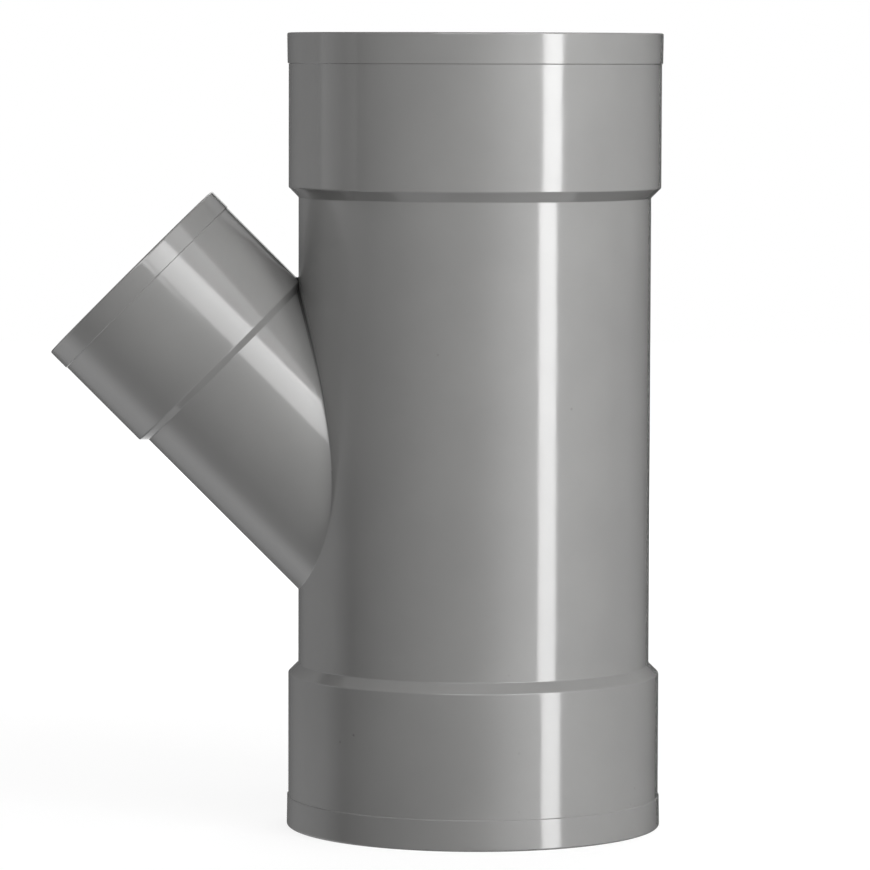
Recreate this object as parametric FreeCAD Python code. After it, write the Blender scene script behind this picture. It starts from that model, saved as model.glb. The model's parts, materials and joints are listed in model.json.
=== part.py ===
import FreeCAD, Part

import math
import os

# Lateral wye fitting for drain pipe, moulded in one piece.
# A straight run stands upright with a socket at each end. A smaller branch leaves the run at
# 45 degrees towards -X, and ends in a socket of its own. Pipes are cemented into the sockets.
# The origin is the centre of the run's lower mouth, and +Z is the run's axis.
# All sizes are millimetres.

# The run.
RUN_LENGTH = 282.0
RUN_PIPE_RADIUS = 62.5
RUN_SOCKET_CLEARANCE = 0.15
RUN_SOCKET_DEPTH = 51.0
RUN_SOCKET_OUTER_RADIUS = 66.05
RUN_SOCKET_OUTER_LENGTH = 54.65
RUN_BAND_RADIUS = 66.45
RUN_BAND_LENGTH = 10.7
RUN_MOUTH_RADIUS = 66.6

# The branch.
BRANCH_ANGLE = 45.0
BRANCH_AXIS_HEIGHT = 75.3
BRANCH_REACH = 172.4
BRANCH_PIPE_RADIUS = 37.5
BRANCH_BODY_RADIUS = 37.8
BRANCH_SOCKET_CLEARANCE = 0.1
BRANCH_SOCKET_DEPTH = 40.0
BRANCH_SOCKET_OUTER_RADIUS = 40.15
BRANCH_SOCKET_OUTER_LENGTH = 44.3
BRANCH_BAND_RADIUS = 40.45
BRANCH_BAND_LENGTH = 7.8

# Both pipes.
BODY_WALL = 3.2
BAND_BEVEL_LENGTH = 0.8
MOUTH_ROUNDING = 0.7
SHOULDER_ROUNDING = 0.8
LEAD_IN = 0.8
ROOT_RADIUS = 0.5
BORE_EDGE_RADIUS = 1.0

# How far a solid runs on inside another one, so that their faces cross and never coincide.
OVERRUN = 2.0

UP = FreeCAD.Vector(0, 0, 1)
DOWN = FreeCAD.Vector(0, 0, -1)
LOWER_MOUTH = FreeCAD.Vector(0, 0, 0)
UPPER_MOUTH = FreeCAD.Vector(0, 0, RUN_LENGTH)
BRANCH_START = FreeCAD.Vector(0, 0, BRANCH_AXIS_HEIGHT)
BRANCH_OUT = FreeCAD.Vector(-math.sin(math.radians(BRANCH_ANGLE)), 0, math.cos(math.radians(BRANCH_ANGLE)))
BRANCH_MOUTH = BRANCH_START + BRANCH_OUT * BRANCH_REACH


def section_point(radius, depth):
    """A point of a lathe section: its distance from the axis, and its depth behind the mouth."""
    return FreeCAD.Vector(radius, 0, depth)


def rounded_corner(before, corner, after, radius):
    """The arc that rounds a corner between two straight sides, tangent to both."""
    towards_before = (before - corner).normalize()
    towards_after = (after - corner).normalize()
    half_angle = towards_before.getAngle(towards_after) / 2
    middle_line = (towards_before + towards_after).normalize()
    setback = radius / math.tan(half_angle)
    middle = corner + middle_line * (radius / math.sin(half_angle) - radius)
    return Part.Arc(corner + towards_before * setback, middle, corner + towards_after * setback)


def lathe(corners, roundings):
    """Turn a closed section about the axis. Roundings gives the radius of each rounded corner."""
    edges = []
    count = len(corners)
    arcs = {}
    for index, radius in roundings.items():
        after = corners[(index + 1) % count]
        arcs[index] = rounded_corner(corners[index - 1], corners[index], after, radius)
    for index in range(count):
        following = (index + 1) % count
        start = corners[index]
        end = corners[following]
        if index in arcs:
            edges.append(arcs[index].toShape())
            start = arcs[index].EndPoint
        if following in arcs:
            end = arcs[following].StartPoint
        edges.append(Part.LineSegment(start, end).toShape())
    section = Part.Face(Part.Wire(edges))
    return section.revolve(FreeCAD.Vector(0, 0, 0), UP, 360)


def set_behind_mouth(shape, mouth, inwards):
    """A copy of a lathe-turned shape, carried to a mouth with its axis along the way in."""
    copy = shape.copy()
    copy.Placement = FreeCAD.Placement(mouth, FreeCAD.Rotation(UP, inwards))
    return copy


def with_an_end_at_each_mouth(pipes, run_end, branch_end):
    """Fuse one end shape to both mouths of the run, and another to the branch's mouth."""
    lower = set_behind_mouth(run_end, LOWER_MOUTH, UP)
    upper = set_behind_mouth(run_end, UPPER_MOUTH, DOWN)
    side = set_behind_mouth(branch_end, BRANCH_MOUTH, BRANCH_OUT * -1)
    return pipes.fuse(lower).fuse(upper).fuse(side)


def socket_outside(mouth_radius, band_radius, band_length, outer_radius, outer_length, body_radius):
    """The outside of a socket: a rounded mouth, a raised band, a sleeve, and a 45 degree shoulder."""
    shoulder_foot = body_radius - OVERRUN
    corners = [
        section_point(0, 0),
        section_point(mouth_radius, 0),
        section_point(band_radius, band_length),
        section_point(outer_radius, band_length + BAND_BEVEL_LENGTH),
        section_point(outer_radius, outer_length),
        section_point(shoulder_foot, outer_length + outer_radius - shoulder_foot),
        section_point(0, outer_length + outer_radius - shoulder_foot),
    ]
    return lathe(corners, {1: MOUTH_ROUNDING, 4: SHOULDER_ROUNDING})


def socket_hollow(bore_radius, depth):
    """The space inside a socket: a lead-in at the mouth, then the bore down to the pipe stop."""
    corners = [
        section_point(0, -OVERRUN),
        section_point(bore_radius + LEAD_IN + OVERRUN, -OVERRUN),
        section_point(bore_radius, LEAD_IN),
        section_point(bore_radius, depth),
        section_point(0, depth),
    ]
    return lathe(corners, {})


def crossed_pipes(run_radius, run_from, run_to, branch_radius, branch_to):
    """A plain straight run and a plain branch that leaves it, fused."""
    run = Part.makeCylinder(run_radius, run_to - run_from, FreeCAD.Vector(0, 0, run_from), UP)
    branch = Part.makeCylinder(branch_radius, branch_to, BRANCH_START, BRANCH_OUT)
    return run.fuse(branch)


def is_junction(edge):
    """Whether an edge is part of the curve where the branch cuts another surface."""
    return not isinstance(edge.Curve, (Part.Circle, Part.Line))


def is_shoulder_foot(edge):
    """Whether an edge is the circle where a shoulder of the run meets its body."""
    return isinstance(edge.Curve, Part.Circle) and math.isclose(edge.Curve.Radius, RUN_PIPE_RADIUS)


def outside():
    """Everything within the fitting's outer surface, as one solid with rounded roots."""
    shape = crossed_pipes(
        RUN_PIPE_RADIUS,
        RUN_SOCKET_DEPTH / 2,
        RUN_LENGTH - RUN_SOCKET_DEPTH / 2,
        BRANCH_BODY_RADIUS,
        BRANCH_REACH - BRANCH_SOCKET_DEPTH / 2,
    )
    run_socket = socket_outside(
        RUN_MOUTH_RADIUS,
        RUN_BAND_RADIUS,
        RUN_BAND_LENGTH,
        RUN_SOCKET_OUTER_RADIUS,
        RUN_SOCKET_OUTER_LENGTH,
        RUN_PIPE_RADIUS,
    )
    branch_socket = socket_outside(
        BRANCH_BAND_RADIUS,
        BRANCH_BAND_RADIUS,
        BRANCH_BAND_LENGTH,
        BRANCH_SOCKET_OUTER_RADIUS,
        BRANCH_SOCKET_OUTER_LENGTH,
        BRANCH_BODY_RADIUS,
    )
    shape = with_an_end_at_each_mouth(shape, run_socket, branch_socket)
    roots = [edge for edge in shape.Edges if is_junction(edge) or is_shoulder_foot(edge)]
    return shape.makeFillet(ROOT_RADIUS, roots)


def hollow():
    """The waterways and the three socket bores, as one solid to take away."""
    shape = crossed_pipes(
        RUN_PIPE_RADIUS - BODY_WALL,
        -OVERRUN,
        RUN_LENGTH + OVERRUN,
        BRANCH_BODY_RADIUS - BODY_WALL,
        BRANCH_REACH + OVERRUN,
    )
    shape = shape.makeFillet(BORE_EDGE_RADIUS, [edge for edge in shape.Edges if is_junction(edge)])
    run_hollow = socket_hollow(RUN_PIPE_RADIUS + RUN_SOCKET_CLEARANCE, RUN_SOCKET_DEPTH)
    branch_hollow = socket_hollow(BRANCH_PIPE_RADIUS + BRANCH_SOCKET_CLEARANCE, BRANCH_SOCKET_DEPTH)
    return with_an_end_at_each_mouth(shape, run_hollow, branch_hollow)


def wye_body():
    """The whole fitting: the outside less the hollow."""
    return outside().cut(hollow())


os.makedirs("parts", exist_ok=True)
fitting = wye_body()
fitting.exportStep("parts/wye_body.step")
box = fitting.BoundBox
print("wye_body", "valid", fitting.isValid(), "solids", len(fitting.Solids), "faces", len(fitting.Faces))
print("volume cm3", round(fitting.Volume / 1000, 2))
print("box mm", [round(value, 2) for value in (box.XMin, box.YMin, box.ZMin, box.XMax, box.YMax, box.ZMax)])
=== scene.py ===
# A lateral wye fitting for drain pipe, moulded in one piece. A straight run stands upright with a
# socket at each end, and a smaller branch leaves its side at 45 degrees and ends in its own socket.

import json
import math

import bpy
import mathutils
import numpy as np
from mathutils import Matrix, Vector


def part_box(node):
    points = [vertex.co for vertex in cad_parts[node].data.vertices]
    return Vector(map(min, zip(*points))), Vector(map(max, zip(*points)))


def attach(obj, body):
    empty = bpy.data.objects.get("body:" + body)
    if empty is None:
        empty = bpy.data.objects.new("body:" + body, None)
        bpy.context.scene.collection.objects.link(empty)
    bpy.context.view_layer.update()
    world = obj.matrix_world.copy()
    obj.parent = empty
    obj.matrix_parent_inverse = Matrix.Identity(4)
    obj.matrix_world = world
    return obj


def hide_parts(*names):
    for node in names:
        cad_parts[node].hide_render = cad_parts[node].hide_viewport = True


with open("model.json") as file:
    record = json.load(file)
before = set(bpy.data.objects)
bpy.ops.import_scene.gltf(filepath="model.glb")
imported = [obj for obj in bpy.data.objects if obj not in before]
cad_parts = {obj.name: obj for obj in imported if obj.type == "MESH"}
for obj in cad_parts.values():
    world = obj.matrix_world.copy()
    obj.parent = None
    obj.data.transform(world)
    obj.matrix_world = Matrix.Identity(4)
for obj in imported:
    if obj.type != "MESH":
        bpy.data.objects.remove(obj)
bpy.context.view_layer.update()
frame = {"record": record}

# The run
# The straight pipe and the socket at each of its ends, injection moulded in rigid vinyl.
# Its wall is one closed line round the section, turned about the upright axis, and the
# branch's root is left open in it as a window through the outer and the inner face.

mounts = {mount["name"]: mount for mount in frame["record"]["mounts"]}
run_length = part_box("wye_body")[1].z
run_bore = mounts["upper_socket"]["dims"]["r_mm"] / 1000
LEAD_IN = 0.0008
run_stop_depth = mounts["upper_socket"]["dims"]["length_mm"] / 1000 + LEAD_IN

RUN_RADIUS = 0.0625
RUN_WATERWAY = 0.0593
RUN_SLEEVE_RADIUS = 0.06605
RUN_SLEEVE_LENGTH = 0.05465
RUN_BAND_RADIUS = 0.06645
RUN_BAND_LENGTH = 0.0107
RUN_RIM_RADIUS = 0.0666
BEVEL_LENGTH = 0.0003

MOUTH_ROUNDING = 0.0007
SHOULDER_ROUNDING = 0.0008
ROOT_ROUNDING = 0.0005
STOP_ROUNDING = 0.0003
FINE_ROUNDING = 0.00015

WINDOW_DEPTH = 0.072
RUN_COLUMNS = 240
WINDOW_COLUMNS = 60
WINDOW_ROWS = 36


def rounded_line(corners, support=0.0003, spacing=0.008, arc_step=math.radians(11)):
    """A line through corners, each given as (across, along, rounding), as an array of points.

    A rounding is the radius of an arc tangent to both sides of its corner. With the way in d, the
    way n to the arc's centre, and the angle t turned so far, the arc's points are its start plus
    radius * (sin t * d + (1 - cos t) * n), one for each arc step at least. A straight side has a
    point a support length from each of its ends, and evenly spaced ones between.
    """
    corners = np.array(corners, dtype=float)
    places = corners[:, :2]
    ways = np.diff(places, axis=0)
    ways /= np.linalg.norm(ways, axis=1)[:, None]
    pieces = []
    start = places[0]
    for index, way in enumerate(ways):
        end = places[index + 1]
        arc = np.empty((0, 2))
        if index + 1 < len(ways):
            turn = math.acos(way @ ways[index + 1])
            radius = corners[index + 1, 2]
            end = end - way * radius * math.tan(turn / 2)
            inwards = (ways[index + 1] - way * math.cos(turn)) / math.sin(turn)
            turned = np.linspace(0, turn, 2 + math.ceil(turn / arc_step))[1:, None]
            arc = end + radius * (np.sin(turned) * way + (1 - np.cos(turned)) * inwards)
        length = np.linalg.norm(end - start)
        beside = min(support, length / 3)
        between = np.linspace(beside, length - beside, 2 + math.floor(length / spacing))
        walked = np.concatenate([[0], between, [length]])[:, None]
        pieces.append(start + way * walked)
        pieces.append(arc[:-1])
        start = arc[-1] if len(arc) else end
    return np.concatenate(pieces)


def around_run(radius, turn, height):
    """Points round the upright axis: x = -radius cos(turn), y = radius sin(turn), z = height."""
    x, y, z = np.broadcast_arrays(-radius * np.cos(turn), radius * np.sin(turn), height)
    return np.stack([x, y, z], axis=-1)


run_end = rounded_line([
    (RUN_RADIUS, WINDOW_DEPTH, 0),
    (RUN_RADIUS, RUN_SLEEVE_LENGTH + RUN_SLEEVE_RADIUS - RUN_RADIUS, ROOT_ROUNDING),
    (RUN_SLEEVE_RADIUS, RUN_SLEEVE_LENGTH, SHOULDER_ROUNDING),
    (RUN_SLEEVE_RADIUS, RUN_BAND_LENGTH + BEVEL_LENGTH, FINE_ROUNDING),
    (RUN_BAND_RADIUS, RUN_BAND_LENGTH, FINE_ROUNDING),
    (RUN_RIM_RADIUS, 0, MOUTH_ROUNDING),
    (run_bore + LEAD_IN, 0, FINE_ROUNDING),
    (run_bore, LEAD_IN, FINE_ROUNDING),
    (run_bore, run_stop_depth, STOP_ROUNDING),
    (RUN_WATERWAY, run_stop_depth, STOP_ROUNDING),
    (RUN_WATERWAY, WINDOW_DEPTH, 0),
])
window_heights = np.linspace(WINDOW_DEPTH, run_length - WINDOW_DEPTH, WINDOW_ROWS + 1)
inner_start = WINDOW_ROWS + len(run_end) - 1
wall_radius = np.concatenate([
    np.full(WINDOW_ROWS, RUN_RADIUS),
    run_end[:-1, 0],
    np.full(WINDOW_ROWS, RUN_WATERWAY),
    run_end[:0:-1, 0],
])
wall_height = np.concatenate([
    window_heights[:-1],
    run_length - run_end[:-1, 1],
    window_heights[:0:-1],
    run_end[:0:-1, 1],
])
run_turns = np.arange(RUN_COLUMNS) * 2 * np.pi / RUN_COLUMNS
run_points = around_run(wall_radius[:, None], run_turns, wall_height[:, None])
run_index = np.arange(run_points.shape[0] * RUN_COLUMNS).reshape(-1, RUN_COLUMNS)

# The branch
# The smaller pipe and its socket, moulded with the run and tilted 45 degrees towards -X.
# Its wall starts at the window in the run's outer face, goes up the outside to the mouth, and
# comes back down the inside to the window in the run's inner face, in the same columns all the way.

branch_bore = mounts["branch_socket"]["dims"]["r_mm"] / 1000
branch_stop_depth = mounts["branch_socket"]["dims"]["length_mm"] / 1000 + LEAD_IN
branch_out = np.array(mounts["branch_socket"]["axis"])
branch_out /= np.linalg.norm(branch_out)
branch_mouth = np.array(mounts["branch_socket"]["pos_m"]) + branch_out * LEAD_IN
branch_reach = branch_mouth[0] / branch_out[0]
branch_start = branch_mouth - branch_out * branch_reach
branch_up = np.array([branch_out[2], 0, -branch_out[0]])
SIDEWAYS = np.array([0, 1, 0])

BRANCH_RADIUS = 0.0378
BRANCH_WATERWAY = 0.0346
BRANCH_SLEEVE_RADIUS = 0.04015
BRANCH_SLEEVE_LENGTH = 0.0443
BRANCH_BAND_RADIUS = 0.04045
BRANCH_BAND_LENGTH = 0.0078
BORE_EDGE_ROUNDING = 0.001
LINE_PAST_SHOULDER = 0.006
LINE_PAST_STOP = 0.003

FACE_ROWS = 10
FACE_SPACING = 1.8
ROOT_ROWS = 9
BODY_ROWS = 14
BODY_SPACING = 2
LEAST_ROW_STEP = 0.00005
ROUND_STEPS = 2880
HALVINGS = 40
NEIGHBOURS = 23


def around_branch(radius, turn, along):
    """Points round the tilted axis: start + along * out + radius (cos(turn) up + sin(turn) sideways)."""
    radius, turn, along = np.broadcast_arrays(radius, turn, along)
    return (
        branch_start
        + along[..., None] * branch_out
        + (radius * np.cos(turn))[..., None] * branch_up
        + (radius * np.sin(turn))[..., None] * SIDEWAYS
    )


def where_it_leaves(run_radius, branch_radius, turn):
    """How far along each of the branch's lines lies a given radius from the run's axis.

    A line is a turn round the branch's axis, and branch_radius(along) its distance from that axis.
    The distance from the run's axis is hypot(x, y), and the place is found by halving an interval.
    """
    near = np.zeros(np.broadcast_shapes(np.shape(run_radius), np.shape(turn)))
    far = np.full(near.shape, branch_reach)
    for _ in range(HALVINGS):
        middle = (near + far) / 2
        points = around_branch(branch_radius(middle), turn, middle)
        clear = np.hypot(points[..., 0], points[..., 1]) > run_radius
        far = np.where(clear, middle, far)
        near = np.where(clear, near, middle)
    return far


def branch_root(run_radius, branch_radius, rounding, turn, softening=math.radians(3.5)):
    """Rows of the rounded edge between run and branch, and how far along the branch the last one is.

    The sharp edge comes first. Each place along is the mean of its neighbours within the softening,
    weighted by a cosine bell, because at the top the branch's shoulder lies level with the run's face
    and the edge would jump over it. Half the angle between the two faces' normals is h. The rounding
    starts rounding * tan(h) from the sharp edge on the run's face, at right angles to the edge, and
    ends as far from it on the branch. With those points a and c, and b on the sharp edge, a row is
    ((1 - s)^2 a + 2 cos(h) s (1 - s) b + s^2 c) / ((1 - s)^2 + 2 cos(h) s (1 - s) + s^2).
    """
    fine = np.linspace(0, 2 * np.pi, ROUND_STEPS, endpoint=False)
    nearby = np.linspace(-1, 1, NEIGHBOURS + 2)[1:-1, None]
    weight = 1 + np.cos(np.pi * nearby[:, 0])
    along = where_it_leaves(run_radius, branch_radius, fine + softening * nearby)
    along = np.tensordot(weight / weight.sum(), along, axes=1)
    edge = around_branch(branch_radius(along), fine, along)
    run_turn = np.arctan2(edge[:, 1], -edge[:, 0])

    def per_turn(values):
        return (np.roll(values, -1) - np.roll(values, 1)) / (2 * fine[1])

    normals_agree = np.sin(fine) * np.sin(run_turn) - branch_up[0] * np.cos(fine) * np.cos(run_turn)
    half_angle = np.arccos(normals_agree) / 2
    reach = rounding * np.tan(half_angle)
    across, down = run_radius * per_turn(run_turn), -per_turn(edge[:, 2])
    off_run_turn = run_turn + reach * down / np.hypot(across, down) / run_radius
    off_height = edge[:, 2] + reach * across / np.hypot(across, down)
    off_along = along + reach * np.hypot(1, per_turn(along) / branch_radius(along))

    def at_columns(values):
        return np.interp(turn, fine, values, period=2 * np.pi)

    along, off_along = at_columns(along), at_columns(off_along)
    on_run = around_run(run_radius, at_columns(off_run_turn), at_columns(off_height))
    on_edge = around_branch(branch_radius(along), turn, along)
    on_branch = around_branch(branch_radius(off_along), turn, off_along)
    share = np.linspace(0, 1, ROOT_ROWS)[:, None, None]
    pull = 2 * np.cos(at_columns(half_angle))[:, None] * share * (1 - share)
    whole = (1 - share) ** 2 + pull + share ** 2
    return ((1 - share) ** 2 * on_run + pull * on_edge + share ** 2 * on_branch) / whole, off_along


branch_sleeve_end = branch_reach - BRANCH_SLEEVE_LENGTH
branch_shoulder_foot = branch_sleeve_end - BRANCH_SLEEVE_RADIUS + BRANCH_RADIUS
branch_stop = branch_reach - branch_stop_depth
branch_line = rounded_line([
    (BRANCH_RADIUS, branch_sleeve_end - LINE_PAST_SHOULDER, 0),
    (BRANCH_RADIUS, branch_shoulder_foot, ROOT_ROUNDING),
    (BRANCH_SLEEVE_RADIUS, branch_sleeve_end, SHOULDER_ROUNDING),
    (BRANCH_SLEEVE_RADIUS, branch_reach - BRANCH_BAND_LENGTH - BEVEL_LENGTH, FINE_ROUNDING),
    (BRANCH_BAND_RADIUS, branch_reach - BRANCH_BAND_LENGTH, FINE_ROUNDING),
    (BRANCH_BAND_RADIUS, branch_reach, MOUTH_ROUNDING),
    (branch_bore + LEAD_IN, branch_reach, FINE_ROUNDING),
    (branch_bore, branch_reach - LEAD_IN, FINE_ROUNDING),
    (branch_bore, branch_stop, STOP_ROUNDING),
    (BRANCH_WATERWAY, branch_stop, STOP_ROUNDING),
    (BRANCH_WATERWAY, branch_stop - LINE_PAST_STOP, 0),
])
mouth_row = int(np.argmax(branch_line[:, 1] > branch_reach - MOUTH_ROUNDING))


def branch_outside(along):
    """The branch's outer radius at each place along it, read off the line of its section."""
    return np.interp(along, branch_line[:mouth_row, 1], branch_line[:mouth_row, 0])


def branch_inside(along):
    """The radius of the branch's waterway, the same all along."""
    return np.full(np.shape(along), BRANCH_WATERWAY)


def window_edge(half, rows):
    """Rows and columns round the window's edge, from the middle of its top towards +Y and down."""
    row = [
        np.full(half, rows),
        np.arange(rows, 0, -1),
        np.zeros(2 * half),
        np.arange(rows),
        np.full(half, rows),
    ]
    column = [
        np.arange(half),
        np.full(rows, half),
        np.arange(half, -half, -1),
        np.full(rows, -half),
        np.arange(-half, 0),
    ]
    return np.concatenate(row).astype(int), np.concatenate(column).astype(int)


def bearing(points):
    """The compass bearing of points on the run, unrolled flat, as seen from the window's middle."""
    unrolled = RUN_RADIUS * np.arctan2(points[:, 1], -points[:, 0])
    return np.unwrap(np.arctan2(unrolled, points[:, 2] - run_length / 2))


def crowding(turn, place=math.radians(6.8), width=math.radians(3), amount=0.32):
    """A count of extra columns, which rises where the root steps over the branch's shoulder.

    It is the sum of amount * (1 + tanh((turn - place) / width)) over the step's two places.
    """
    places = np.array([[place], [2 * np.pi - place]])
    return (amount * (1 + np.tanh((turn - places) / width))).sum(axis=0)


def face_rows(radius, root, window_points):
    """Rows on a face of the run from the window's edge to the root, closer together near the root.

    Each column is a straight line on the face unrolled flat, and its points lie at the power
    FACE_SPACING of evenly spaced shares of the way back from the root.
    """
    share = np.linspace(1, 0, FACE_ROWS, endpoint=False)[:, None] ** FACE_SPACING
    root_turn = np.arctan2(root[:, 1], -root[:, 0])
    window_turn = np.arctan2(window_points[:, 1], -window_points[:, 0])
    turn = root_turn + share * (window_turn - root_turn)
    height = root[:, 2] + share * (window_points[:, 2] - root[:, 2])
    return around_run(radius, turn, height)


edge_row, edge_column = window_edge(WINDOW_COLUMNS // 2, WINDOW_ROWS)
outer_edge = (edge_row, edge_column)
inner_edge = (inner_start + WINDOW_ROWS - edge_row, edge_column)

round_turns = np.linspace(0, 2 * np.pi, ROUND_STEPS + 1)
sharp_along = where_it_leaves(RUN_RADIUS, branch_outside, round_turns)
sharp_root = around_branch(branch_outside(sharp_along), round_turns, sharp_along)
columns_passed = bearing(sharp_root) + crowding(round_turns)
columns_passed -= columns_passed[0]
columns_passed *= 2 * np.pi / columns_passed[-1]
columns_turn = np.interp(bearing(run_points[outer_edge]), columns_passed, round_turns)

outer_root, outer_root_end = branch_root(RUN_RADIUS, branch_outside, ROOT_ROUNDING, columns_turn)
inner_root, inner_root_end = branch_root(RUN_WATERWAY, branch_inside, BORE_EDGE_ROUNDING, columns_turn)

body_share = (np.arange(1, BODY_ROWS) / BODY_ROWS)[:, None] ** BODY_SPACING
body_along = outer_root_end + body_share * (branch_line[0, 1] - outer_root_end)
outside_along = np.concatenate([
    body_along,
    np.broadcast_to(branch_line[:mouth_row, 1:2], (mouth_row, len(columns_turn))),
])
row_number = np.arange(1, len(outside_along) + 1)[:, None]
outside_along = np.maximum(outside_along, outer_root_end + LEAST_ROW_STEP * row_number)
inside_along = inner_root_end + body_share[::-1] * (branch_line[-1, 1] - inner_root_end)

branch_points = np.concatenate([
    face_rows(RUN_RADIUS, outer_root[0], run_points[outer_edge]),
    outer_root,
    around_branch(branch_outside(outside_along), columns_turn, outside_along),
    around_branch(branch_line[mouth_row:, :1], columns_turn, branch_line[mouth_row:, 1:2]),
    around_branch(BRANCH_WATERWAY, columns_turn, inside_along),
    inner_root[::-1],
    face_rows(RUN_WATERWAY, inner_root[0], run_points[inner_edge])[::-1],
])

# The moulding
# Run and branch as the one skin that they are in the mould, so the window's edges are the same
# points in both. Every face of it is a quad that points outwards, and nothing is left open.


def quads(first, second):
    """Faces between two rows of points, or two stacks of rows: each joins a point, its neighbour in
    the same row and the two points across from them. Rows close on themselves."""
    return np.stack([first, np.roll(first, -1, axis=1), np.roll(second, -1, axis=1), second], axis=-1)


run_faces = quads(run_index, np.roll(run_index, -1, axis=0))[..., ::-1]
in_window = np.zeros(run_index.shape, dtype=bool)
half_window = WINDOW_COLUMNS // 2
for first_row in (0, inner_start):
    rows = slice(first_row, first_row + WINDOW_ROWS)
    in_window[rows, :half_window] = True
    in_window[rows, -half_window:] = True

branch_index = run_index.size + np.arange(branch_points[..., 0].size).reshape(branch_points.shape[:2])
branch_index[0] = run_index[outer_edge]
branch_index[-1] = run_index[inner_edge]
branch_faces = quads(branch_index[:-1], branch_index[1:])

faces = np.concatenate([run_faces[~in_window], branch_faces.reshape(-1, 4)])
points = np.concatenate([run_points.reshape(-1, 3), branch_points.reshape(-1, 3)])
used, faces = np.unique(faces, return_inverse=True)
faces = faces.reshape(-1, 4)

skin = bpy.data.meshes.new("wye_moulding")
skin.from_pydata(points[used].tolist(), [], faces.tolist())
skin.shade_smooth()
moulding = bpy.data.objects.new("wye_moulding", skin)
bpy.context.scene.collection.objects.link(moulding)
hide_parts("wye_body")
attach(moulding, "root")

# Shade is painted into the corner between run and branch as a dark colour with a dull gloss: full on the
# root, thin on two rows beside it on each side, strongest on top of the branch and gone below it.

CORNER_SHADE_POWER = 3
CORNER_SHADE_BESIDE_ROOT = 0.45
CORNER_SHADE_NEXT_TO_THAT = 0.12

first_root_row = FACE_ROWS
last_root_row = FACE_ROWS + ROOT_ROWS - 1
corner_shade_round_branch = (0.5 + 0.5 * np.cos(columns_turn)) ** CORNER_SHADE_POWER
painted_corner_shade = np.zeros(branch_points.shape[:2])
painted_corner_shade[first_root_row:last_root_row + 1] = corner_shade_round_branch
painted_corner_shade[[first_root_row - 1, last_root_row + 1]] = corner_shade_round_branch * CORNER_SHADE_BESIDE_ROOT
painted_corner_shade[[first_root_row - 2, last_root_row + 2]] = corner_shade_round_branch * CORNER_SHADE_NEXT_TO_THAT
painted_corner_shade = np.concatenate([np.zeros(run_index.size), painted_corner_shade.ravel()])[used]

# The run's outer face is a little duller round the upper half of the root, where the mould is hard to
# polish, and painted paler there as painted light that lifts its shade. The patch fades out sideways,
# below, and above at the shoulder's foot.

PATCH_FULL_TURN, PATCH_END_TURN = math.radians(30), math.radians(66)
PATCH_FADE_BELOW = (0.11, 0.15)
PATCH_FADE_ABOVE = (0.227, 0.2245)
PATCH_FADE_OFF_FACE = (0.001, 0.0001)


def eased(value, start, end):
    """A smooth rise from 0 at start to 1 at end: s * s * (3 - 2 s), with s the share of the way."""
    way = np.clip((value - start) / (end - start), 0, 1)
    return way * way * (3 - 2 * way)


x, y, z = points[used].T
dull_painted_light_patch = (
    eased(np.abs(np.arctan2(y, -x)), PATCH_END_TURN, PATCH_FULL_TURN)
    * eased(z, *PATCH_FADE_BELOW)
    * eased(z, *PATCH_FADE_ABOVE)
    * eased(np.abs(np.hypot(x, y) - RUN_RADIUS), *PATCH_FADE_OFF_FACE)
)
for name, amount in (("painted_corner_shade", painted_corner_shade), ("dull_painted_light_patch", dull_painted_light_patch)):
    attribute = skin.attributes.new(name, "FLOAT", "POINT")
    attribute.data.foreach_set("value", amount.astype(np.float32))

# The vinyl: melt of two near greys that never quite mixed, rare tiny dark specks, and a glossy
# face that is a little rubbed, sunk in places and finely rippled.

MELT_DARK = (0.201, 0.200, 0.197, 1)
MELT_PALE = (0.221, 0.220, 0.216, 1)
SPECK_COLOUR = (0.150, 0.150, 0.146, 1)
SPECK_CELLS = 90
SPECK_EDGE, SPECK_CORE = 0.055, 0.025
PAINTED_LIGHT_COLOUR = (0.255, 0.254, 0.250, 1)
PAINTED_SHADE_COLOUR = (0.02, 0.02, 0.019, 1)
VINYL_IOR = 1.54
GLOSS_SMOOTH, GLOSS_RUBBED = 0.095, 0.135
PATCH_ROUGHNESS = 0.265
CORNER_ROUGHNESS = 0.8
SUNK_DEPTH = 0.00004
RIPPLE_DEPTH = 0.000004
GRAIN_DEPTH = 0.0000008
NOISE_LOW, NOISE_HIGH = 0.3, 0.7

vinyl = bpy.data.materials.new("grey_pvc")
vinyl.use_nodes = True
nodes, links = vinyl.node_tree.nodes, vinyl.node_tree.links
shader = nodes["Principled BSDF"]
shader.inputs["IOR"].default_value = VINYL_IOR
place = nodes.new("ShaderNodeTexCoord")


def clouds(scale, detail, low=0, high=1):
    """Noise of a scale per metre on the moulding, stretched so that it spans low to high."""
    noise = nodes.new("ShaderNodeTexNoise")
    noise.inputs["Scale"].default_value = scale
    noise.inputs["Detail"].default_value = detail
    links.new(place.outputs["Object"], noise.inputs["Vector"])
    spread = nodes.new("ShaderNodeMapRange")
    spread.inputs["From Min"].default_value = NOISE_LOW
    spread.inputs["From Max"].default_value = NOISE_HIGH
    spread.inputs["To Min"].default_value = low
    spread.inputs["To Max"].default_value = high
    links.new(noise.outputs["Fac"], spread.inputs["Value"])
    return spread.outputs["Result"]


def amount_of(name):
    """The amount between 0 and 1 that the moulding's points keep under a name."""
    attribute = nodes.new("ShaderNodeAttribute")
    attribute.attribute_name = name
    return attribute.outputs["Fac"]


def laid_over(under, over, amount, kind):
    """A colour or a number laid over what is under it, by an amount between 0 and 1."""
    mix = nodes.new("ShaderNodeMix")
    mix.data_type = kind
    mix.inputs["B"].default_value = over
    links.new(amount, mix.inputs["Factor"])
    links.new(under, mix.inputs["A"])
    return mix.outputs["Result"]


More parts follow.
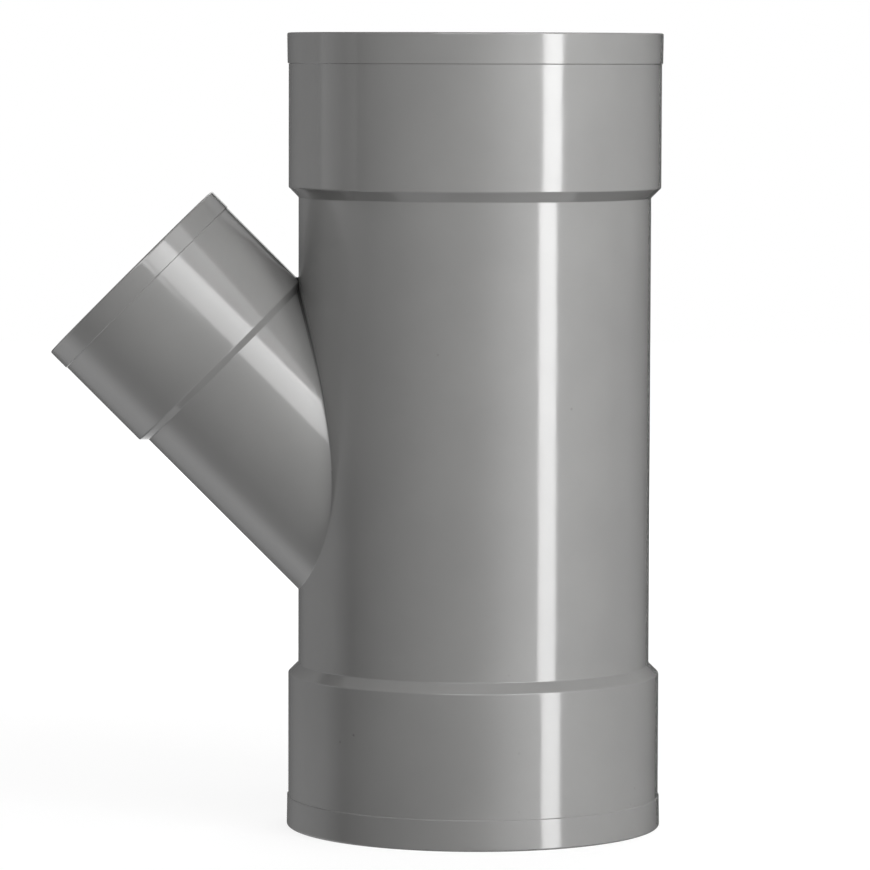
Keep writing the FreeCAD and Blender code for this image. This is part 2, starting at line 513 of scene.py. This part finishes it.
def bumped(height, depth, under=None):
    """A bump of a depth in metres, laid over the normal that comes from under it."""
    bump = nodes.new("ShaderNodeBump")
    bump.inputs["Distance"].default_value = depth
    links.new(height, bump.inputs["Height"])
    if under is not None:
        links.new(under, bump.inputs["Normal"])
    return bump.outputs["Normal"]


melt = nodes.new("ShaderNodeMix")
melt.data_type = "RGBA"
melt.inputs["A"].default_value = MELT_DARK
melt.inputs["B"].default_value = MELT_PALE
links.new(clouds(scale=26, detail=6), melt.inputs["Factor"])

spots = nodes.new("ShaderNodeTexVoronoi")
spots.inputs["Scale"].default_value = SPECK_CELLS
links.new(place.outputs["Object"], spots.inputs["Vector"])
tiny = nodes.new("ShaderNodeMapRange")
tiny.inputs["From Min"].default_value = SPECK_EDGE
tiny.inputs["From Max"].default_value = SPECK_CORE
links.new(spots.outputs["Distance"], tiny.inputs["Value"])
some = nodes.new("ShaderNodeMath")
some.operation = "MULTIPLY"
links.new(tiny.outputs["Result"], some.inputs[0])
links.new(clouds(scale=34, detail=1, low=-1.2), some.inputs[1])

in_corner = amount_of("painted_corner_shade")
in_patch = amount_of("dull_painted_light_patch")
colour = laid_over(melt.outputs["Result"], SPECK_COLOUR, some.outputs[0], "RGBA")
# Painted light: the patch beside the branch's root is coloured paler to lift the run's shade there.
colour = laid_over(colour, PAINTED_LIGHT_COLOUR, in_patch, "RGBA")
# Painted shade: the crease between run and branch is coloured near black, strongest on top.
colour = laid_over(colour, PAINTED_SHADE_COLOUR, in_corner, "RGBA")
links.new(colour, shader.inputs["Base Color"])

roughness = clouds(scale=70, detail=5, low=GLOSS_SMOOTH, high=GLOSS_RUBBED)
roughness = laid_over(roughness, PATCH_ROUGHNESS, in_patch, "FLOAT")
roughness = laid_over(roughness, CORNER_ROUGHNESS, in_corner, "FLOAT")
links.new(roughness, shader.inputs["Roughness"])

face = bumped(clouds(scale=22, detail=2), SUNK_DEPTH)
face = bumped(clouds(scale=160, detail=2), RIPPLE_DEPTH, face)
face = bumped(clouds(scale=900, detail=2), GRAIN_DEPTH, face)
links.new(face, shader.inputs["Normal"])
skin.materials.append(vinyl)

# The floor and the white round it
# A plain pale table top that fades into the white behind it. The glow that makes it pale is seen by
# the camera alone, so it lights nothing, and the fitting's shadow stays on it.

FLOOR_HALF_WIDTH = 3.0
FLOOR_COLOUR = (0.2, 0.2, 0.2, 1)
GLOW_BESIDE_FITTING = 0.82
GLOW_FAR_OFF = 1.0
FADE_START, FADE_END = 0.1, 1.3

floor_mesh = bpy.data.meshes.new("floor")
corner = FLOOR_HALF_WIDTH * np.array([[-1, -1, 0], [1, -1, 0], [1, 1, 0], [-1, 1, 0]])
floor_mesh.from_pydata(corner.tolist(), [], [(0, 1, 2, 3)])
floor = bpy.data.objects.new("floor", floor_mesh)
floor.visible_glossy = False
bpy.context.scene.collection.objects.link(floor)
floor_material = bpy.data.materials.new("pale_floor")
floor_material.use_nodes = True
nodes, links = floor_material.node_tree.nodes, floor_material.node_tree.links
nodes.clear()
output = nodes.new("ShaderNodeOutputMaterial")
paper = nodes.new("ShaderNodeBsdfDiffuse")
paper.inputs["Color"].default_value = FLOOR_COLOUR
place = nodes.new("ShaderNodeTexCoord")
distance = nodes.new("ShaderNodeVectorMath")
distance.operation = "LENGTH"
fade = nodes.new("ShaderNodeMapRange")
fade.interpolation_type = "SMOOTHSTEP"
fade.inputs["From Min"].default_value = FADE_START
fade.inputs["From Max"].default_value = FADE_END
fade.inputs["To Min"].default_value = GLOW_BESIDE_FITTING
fade.inputs["To Max"].default_value = GLOW_FAR_OFF
glow = nodes.new("ShaderNodeEmission")
seen = nodes.new("ShaderNodeLightPath")
both = nodes.new("ShaderNodeAddShader")
choose = nodes.new("ShaderNodeMixShader")
links.new(place.outputs["Object"], distance.inputs[0])
links.new(distance.outputs["Value"], fade.inputs["Value"])
links.new(fade.outputs["Result"], glow.inputs["Strength"])
links.new(seen.outputs["Is Camera Ray"], choose.inputs[0])
links.new(paper.outputs[0], both.inputs[0])
links.new(glow.outputs[0], both.inputs[1])
links.new(paper.outputs[0], choose.inputs[1])
links.new(both.outputs[0], choose.inputs[2])
links.new(choose.outputs[0], output.inputs["Surface"])
floor_mesh.materials.append(floor_material)

ROOM_LIGHT = 0.2
world = bpy.data.worlds.new("white_surround")
bpy.context.scene.world = world
world.use_nodes = True
nodes, links = world.node_tree.nodes, world.node_tree.links
nodes.clear()
output = nodes.new("ShaderNodeOutputWorld")
seen = nodes.new("ShaderNodeLightPath")
mirrored = nodes.new("ShaderNodeMath")
mirrored.operation = "MAXIMUM"
through = nodes.new("ShaderNodeMath")
through.operation = "MAXIMUM"
white = nodes.new("ShaderNodeBackground")
white.inputs["Color"].default_value = (1, 1, 1, 1)
white.inputs["Strength"].default_value = 1.0
dim = nodes.new("ShaderNodeBackground")
dim.inputs["Color"].default_value = (1, 1, 1, 1)
dim.inputs["Strength"].default_value = ROOM_LIGHT
choose = nodes.new("ShaderNodeMixShader")
links.new(seen.outputs["Is Camera Ray"], mirrored.inputs[0])
links.new(seen.outputs["Is Glossy Ray"], mirrored.inputs[1])
links.new(mirrored.outputs[0], through.inputs[0])
links.new(seen.outputs["Is Transmission Ray"], through.inputs[1])
links.new(through.outputs[0], choose.inputs[0])
links.new(dim.outputs[0], choose.inputs[1])
links.new(white.outputs[0], choose.inputs[2])
links.new(choose.outputs[0], output.inputs["Surface"])

# The studio wall
# Cloth hung in a ring round the table and closed on top, open behind it, which only the fitting's
# gloss sees. It is black, but pale low on the left, under the branch, grey at the table's height
# on both sides, and pale again high on the right, above the shoulders.

WALL_DISTANCE = 2.8
WALL_STEPS = 132
WALL_FOOT = -4.0
LOW_TOP = -1.0
LEVEL_FOOT, LEVEL_TOP = -0.3, 1.6
HIGH_FOOT, WALL_TOP = 2.0, 3.2

WALL_BEARING = [
    -172, -155, -143, -133, -118, -105, -96, -87, -65, -35,
    0, 30, 45, 60, 80, 100, 118, 130, 150, 172,
]
LOW_BRIGHTNESS = [
    0.2, 0.4, 0.9, 1.3, 1.9, 1.9, 1.5, 1.1, 0.55, 0.2,
    0, 0, 0, 0, 0, 0, 0, 0, 0, 0,
]
LEVEL_BRIGHTNESS = [
    0.1, 0.25, 0.45, 0.6, 0.8, 0.85, 0.55, 0.15, 0.2, 0.15,
    0.05, 0.08, 0.08, 0.09, 0.1, 0.35, 0.4, 0.2, 0.05, 0,
]
HIGH_BRIGHTNESS = [
    0, 0, 0, 0, 0, 0, 0, 0, 0, 0,
    0, 0, 0.8, 1.0, 0.9, 0, 0, 0, 0, 0,
]
BLACK = [0] * len(WALL_BEARING)
wall_rows = [
    (WALL_DISTANCE, WALL_FOOT, LOW_BRIGHTNESS),
    (WALL_DISTANCE, LOW_TOP, LOW_BRIGHTNESS),
    (WALL_DISTANCE, LEVEL_FOOT, LEVEL_BRIGHTNESS),
    (WALL_DISTANCE, LEVEL_TOP, LEVEL_BRIGHTNESS),
    (WALL_DISTANCE, HIGH_FOOT, HIGH_BRIGHTNESS),
    (WALL_DISTANCE, WALL_TOP, HIGH_BRIGHTNESS),
    (WALL_DISTANCE, WALL_TOP, BLACK),
    (0, WALL_TOP, BLACK),
]

step_bearing = np.linspace(WALL_BEARING[0], WALL_BEARING[-1], WALL_STEPS + 1)
turns = np.radians(step_bearing)
row_radius, row_height = (np.array([row[index] for row in wall_rows])[:, None] for index in (0, 1))
wall_points = np.stack(np.broadcast_arrays(
    row_radius * np.sin(turns),
    -row_radius * np.cos(turns),
    row_height,
), axis=-1)
wall_brightness = np.stack([np.interp(step_bearing, WALL_BEARING, row[2]) for row in wall_rows])
wall_index = np.arange(wall_brightness.size).reshape(wall_brightness.shape)
wall_faces = np.stack([
    wall_index[:-1, :-1],
    wall_index[:-1, 1:],
    wall_index[1:, 1:],
    wall_index[1:, :-1],
], axis=-1)

wall_mesh = bpy.data.meshes.new("studio_wall")
wall_mesh.from_pydata(wall_points.reshape(-1, 3).tolist(), [], wall_faces.reshape(-1, 4).tolist())
cloth_attribute = wall_mesh.attributes.new("cloth", "FLOAT", "POINT")
cloth_attribute.data.foreach_set("value", wall_brightness.ravel().astype(np.float32))
wall = bpy.data.objects.new("studio_wall", wall_mesh)
wall.visible_camera = False
wall.visible_diffuse = False
wall.visible_transmission = False
wall.visible_shadow = False
bpy.context.scene.collection.objects.link(wall)
cloth = bpy.data.materials.new("studio_cloth")
cloth.use_nodes = True
nodes, links = cloth.node_tree.nodes, cloth.node_tree.links
nodes.clear()
output = nodes.new("ShaderNodeOutputMaterial")
lit_cloth = nodes.new("ShaderNodeEmission")
how_bright = nodes.new("ShaderNodeAttribute")
how_bright.attribute_name = "cloth"
links.new(how_bright.outputs["Fac"], lit_cloth.inputs["Strength"])
links.new(lit_cloth.outputs[0], output.inputs["Surface"])
wall_mesh.materials.append(cloth)

# The lamps
# Soft boxes round the fitting, placed by the bearing and the rise at which it sees them. The strip
# gives the run its sharp upright highlight, and the slanted box gives the branch its broad soft one.
# Two fill boxes, kept out of the gloss, hold the left and the back at a plain level.

aim = np.array([0, 0, run_length / 2])


def soft_box(name, bearing_deg, rise_deg, distance, size, brightness, roll_deg=0, in_gloss=True):
    """A soft box at a bearing from the camera's side and a rise above level, facing the fitting.

    Size is (across, up) before the roll. Brightness is the radiance at the two sides of its face,
    eased between them: left and right as seen from behind the box, which a roll of 90 degrees
    makes foot and head.
    """
    bearing_angle, rise = math.radians(bearing_deg), math.radians(rise_deg)
    way = np.array([
        math.sin(bearing_angle) * math.cos(rise),
        -math.cos(bearing_angle) * math.cos(rise),
        math.sin(rise),
    ])
    lamp = bpy.data.lights.new(name, "AREA")
    lamp.shape = "RECTANGLE"
    lamp.size, lamp.size_y = size
    lamp.energy = math.pi * lamp.size * lamp.size_y
    lamp.use_nodes = True
    nodes, links = lamp.node_tree.nodes, lamp.node_tree.links
    on_face = nodes.new("ShaderNodeNewGeometry")
    split = nodes.new("ShaderNodeSeparateXYZ")
    fade = nodes.new("ShaderNodeMapRange")
    fade.interpolation_type = "SMOOTHSTEP"
    fade.inputs["To Min"].default_value, fade.inputs["To Max"].default_value = brightness
    links.new(on_face.outputs["Parametric"], split.inputs[0])
    links.new(split.outputs["X"], fade.inputs["Value"])
    links.new(fade.outputs["Result"], nodes["Emission"].inputs["Strength"])
    stand = bpy.data.objects.new(name, lamp)
    stand.location = aim + way * distance
    facing = mathutils.Euler((math.pi / 2 - rise, 0, bearing_angle)).to_matrix()
    rolled = mathutils.Matrix.Rotation(math.radians(roll_deg), 3, "Z")
    stand.rotation_euler = (facing @ rolled).to_euler()
    stand.visible_camera = False
    stand.visible_glossy = in_gloss
    bpy.context.scene.collection.objects.link(stand)


soft_box("strip_box", 47, 0, 1.4, (1.3, 0.3), (9.3, 15.2), 91.4)
soft_box("branch_box", 27.2, 24.6, 1.6, (0.78, 0.45), (4.2, 5.8), 45)
soft_box("front_panel", 18, 9, 1.4, (1.2, 1.4), (0.08, 2.3))
soft_box("front_high_box", -8, 27, 0.8, (0.4, 0.28), (5.0, 5.0))
soft_box("right_panel", 76, 3, 1.6, (1.3, 1.8), (1.35, 0.3))
soft_box("right_high_box", 62, 42, 1.6, (1.3, 0.9), (1.0, 1.8))
soft_box("left_panel", -92, 10, 1.6, (0.9, 0.6), (0.35, 0.35))
soft_box("back_high_box", 165, 35, 1.6, (1.2, 0.8), (0.4, 0.4))
soft_box("left_fill_box", -117, 8, 1.6, (1.25, 1.4), (0.5, 0.5), in_gloss=False)
soft_box("back_fill_box", 175, 28, 1.6, (1.4, 1.2), (3.0, 3.0), in_gloss=False)

# The camera
# Level with the upper mouth and a little left of the run, far away and with a long lens. It looks
# slightly down, and is rolled by a hair.

FOCAL_LENGTH_MM = 209.6
SENSOR_WIDTH_MM = 36
CAMERA_PLACE = (-0.0139, -1.7977, 0.275)
LOOKS_DOWN_DEG = 4.318
ROLL_DEG = -0.1615
TURN_DEG = 0.0122

bpy.context.scene.view_settings.view_transform = "Standard"
lens = bpy.data.cameras.new("camera")
lens.lens = FOCAL_LENGTH_MM
lens.sensor_width = SENSOR_WIDTH_MM
camera = bpy.data.objects.new("camera", lens)
camera.location = CAMERA_PLACE
camera.rotation_euler = [math.radians(angle) for angle in (90 - LOOKS_DOWN_DEG, ROLL_DEG, TURN_DEG)]
bpy.context.scene.collection.objects.link(camera)
bpy.context.scene.camera = camera
